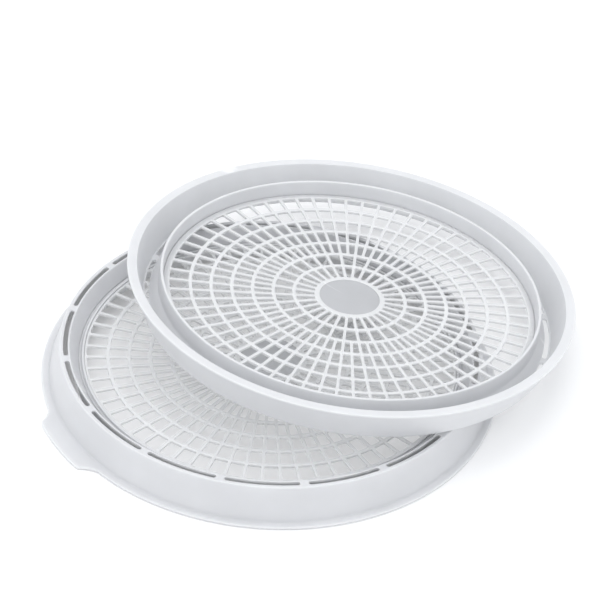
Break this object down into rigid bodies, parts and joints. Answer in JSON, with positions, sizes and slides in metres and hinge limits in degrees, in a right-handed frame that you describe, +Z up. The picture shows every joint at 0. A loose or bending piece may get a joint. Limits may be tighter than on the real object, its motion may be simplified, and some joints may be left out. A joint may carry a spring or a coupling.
{
  "type": "food dehydrator tray pair",
  "caption": "Round stacking trays for a food dehydrator: white slotted rings with a radial grid floor, one set flat and the other turned over and leaning on it.",
  "frame": {"origin": "on the table, under the middle of the box round the pair of trays", "axes": "+Z up from the table, +X to the right and +Y away from the side with the finger tab; the upper tray is set off towards +X and +Y"},
  "size_m": [0.3804, 0.3748, 0.0671],
  "materials": {
    "ring_plastic": "white, slightly translucent moulded polypropylene, satin",
    "grid_plastic": "white moulded polypropylene mesh, satin"
  },
  "bodies": {
    "lower_tray": {"lower_tray_ring": "ring_plastic", "lower_tray_grid": "grid_plastic"},
    "upper_tray": {"upper_tray_ring": "ring_plastic"},
    "upper_floor": {"upper_tray_grid": "grid_plastic"}
  },
  "joints": [
    {"name": "upper_tray_lift", "type": "slide", "parent": "lower_tray", "child": "upper_tray", "axis": [0, 0, 1], "range_m": [0, 0.12]},
    {"name": "upper_floor_lift", "type": "slide", "parent": "upper_tray", "child": "upper_floor", "axis": [0.0722, 0.065, 0.9953], "range_m": [0, 0.05]}
  ]
}
